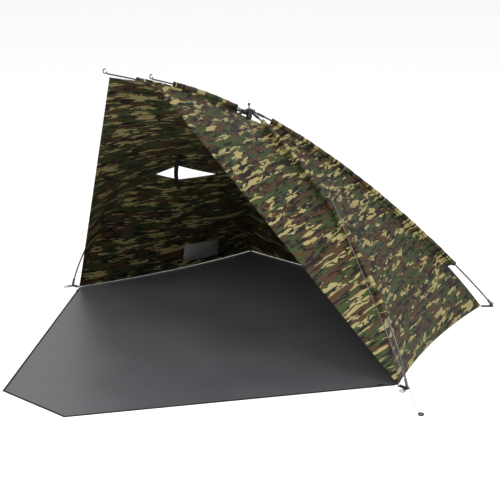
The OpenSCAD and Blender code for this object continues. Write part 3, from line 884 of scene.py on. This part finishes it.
def fold_strip():
    """The short flat stretch of cloth between the floor and the door's fold line."""
    columns, rows = 60, 7
    lower, upper = [], []
    for i in range(columns):
        for j in range(rows):
            s = 2 * i / (columns - 1) - 1
            y = mix(FRONT_CORNER[1] + 0.006, DOOR_FOLD - 0.004, j / (rows - 1))
            lower.append(vec((DOOR_HALF - 0.006) * s, y, 0.0))
            upper.append(vec((DOOR_HALF - 0.006) * s, y, 0.0013))
    return slab("fold_strip", lower, upper, columns, rows, FLOOR)


strip = fold_strip()
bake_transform(strip)


def door_binding():
    """Tape folded over the door's three free edges, with a row of stitches along it."""
    wide = 0.009
    tip = DOOR_FOLD - DOOR_LENGTH
    corners = [vec(-DOOR_HALF, DOOR_FOLD, 0), vec(-DOOR_TIP_HALF, tip, 0), vec(DOOR_TIP_HALF, tip, 0),
               vec(DOOR_HALF, DOOR_FOLD, 0)]
    slope = unit(corners[1] - corners[0])
    edge_in = wide / abs(slope[1])
    tip_y = tip + wide
    inner = [vec(-DOOR_HALF + edge_in, DOOR_FOLD, 0), vec(-door_half(tip_y) + edge_in, tip_y, 0),
             vec(door_half(tip_y) - edge_in, tip_y, 0), vec(DOOR_HALF - edge_in, DOOR_FOLD, 0)]
    lower, upper = [], []
    columns = 0
    for k in range(3):
        steps = 120 if k != 1 else 40
        for m in range(steps + (1 if k == 2 else 0)):
            columns += 1
            part = m / steps
            a, b = mix(corners[k], corners[k + 1], part), mix(inner[k], inner[k + 1], part)
            for r in range(5):
                q = mix(a, b, r / 4)
                swell = 0.0030 if r not in (0, 3, 4) else 0.0023
                stitch = 0.0003 if r == 3 and m % 2 else 0.0
                lower.append(q + vec(0, 0, 0.0))
                upper.append(q + vec(0, 0, swell - stitch))
    return slab("door_binding", lower, upper, columns, 5, TAPE)


binding = door_binding()
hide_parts("door_edge_tape")
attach(binding, "door")


def piping(name, points):
    path = [p + vec(0, 0, 0.0042) for p in points]
    obj = sweep(name, path, lambda k, a: 0.0014 * (1 + 0.1 * math.sin(k * 2.1)), PIPING)
    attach(obj, "ground")


def floor_seam(point, inward):
    return [flat(point(k / 60, 1)) + inward * 0.011 for k in range(61)]


piping("right_floor_piping", floor_seam(side_point, vec(-1, 0, 0)))
piping("left_floor_piping", floor_seam(left(side_point), vec(1, 0, 0)))
piping("rear_floor_piping", floor_seam(rear_point, vec(0, -1, 0)))


# ---------------------------------------------------------------- mesh pocket
POCKET_U = (0.55, 0.77)
POCKET_T = (0.86, 0.965)


def pocket_point(u, t):
    """The pocket's own surface: its mouth stands off the wall, its sides and bottom are sewn down."""
    base = side_point(mix(*POCKET_U, u), mix(*POCKET_T, t))
    off = 0.005 + 0.032 * math.sqrt(max(4 * u * (1 - u), 0)) * (1 - t**2)
    return mirrored(base + SIDE_INWARD * off - vec(0, 0, 0.003))


def pocket_piece(name, t_range, material, thick, columns=28, rows=22):
    lower, upper, prints = [], [], []
    for i in range(columns):
        for j in range(rows):
            u, t = i / (columns - 1), mix(*t_range, j / (rows - 1))
            n = normal_of(pocket_point, u, t)
            q = pocket_point(u, t) + n * 0.0008 * waves(u * 9, t * 9, 3.0)
            lower.append(q - n * thick / 2)
            upper.append(q + n * thick / 2)
            prints.append(vec(u * 0.24, 0, t * 0.15))
    return slab(name, lower, upper, columns, rows, material, prints)


pocket = pocket_piece("pocket_mesh", (0.1, 1.0), NET, 0.0008)
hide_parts("mesh_pocket")
flatten(pocket)
hem_band = pocket_piece("pocket_top_band", (0.0, 0.1), HEM_GREY, 0.0022, rows=6)
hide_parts("pocket_hem")
flatten(hem_band)


# ---------------------------------------------------------------- CAD parts that keep their shape
KEPT = {
    ROD: ["_pole"],
    BLACK: ["_knuckle", "_hook", "hub_body", "hub_cap", "release_pin", "guy_ring", "guy_loop"],
    GREY: ["_foot"],
    STEEL: ["hub_pins", "_stake_ring"],
    ENAMEL: ["_zip_slider"],
    TAPE: ["_corner_tab", "hub_straps"],
}
for material, endings in KEPT.items():
    for node_name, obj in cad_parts.items():
        if any(node_name.endswith(e) for e in endings) and not obj.hide_render:
            obj.data.materials.clear()
            obj.data.materials.append(material)
            bevelled = add_modifier(obj, "BEVEL", width=0.0004, segments=2, limit_method="ANGLE")
            bevelled.harden_normals = False


# ---------------------------------------------------------------- panel sizes, worked out but not used further
for cloth_name, (cloth, wide, long, area) in panels.items():
    width, length = float(wide), float(min(long, 2 * area / wide))
    area = float(min(area, width * length))


# ---------------------------------------------------------------- stage
def backdrop():
    n = Nodes("pale_floor")
    return n.finish((0.95, 0.95, 0.95, 1), 0.9, **{"Emission Color": (1, 1, 1, 1), "Emission Strength": 0.04})


stage_mesh = bpy.data.meshes.new("stage")
stage_mesh.from_pydata([(-60, -60, 0), (60, -60, 0), (60, 60, 0), (-60, 60, 0)], [], [(0, 1, 2, 3)])
stage_mesh.materials.append(backdrop())
stage = bpy.data.objects.new("stage", stage_mesh)
stage.location.z = -0.0005
bpy.context.scene.collection.objects.link(stage)

world = bpy.data.worlds.new("world")
world.use_nodes = True
world.node_tree.nodes["Background"].inputs[0].default_value = (1, 1, 1, 1)
world.node_tree.nodes["Background"].inputs[1].default_value = 0.95
bpy.context.scene.world = world
bpy.context.scene.view_settings.view_transform = "Standard"


def lamp(name, place, target, size, power):
    data = bpy.data.lights.new(name, "AREA")
    data.energy = power
    data.size = size
    obj = bpy.data.objects.new(name, data)
    obj.location = place
    way = Vector(target) - Vector(place)
    obj.rotation_euler = way.to_track_quat("-Z", "Y").to_euler()
    bpy.context.scene.collection.objects.link(obj)


lamp("key", (1.5, -6.5, 6.0), (0, -0.3, 0.4), 3.0, 420)
lamp("side", (6.0, -1.5, 4.0), (0.5, -0.2, 0.5), 3.0, 220)
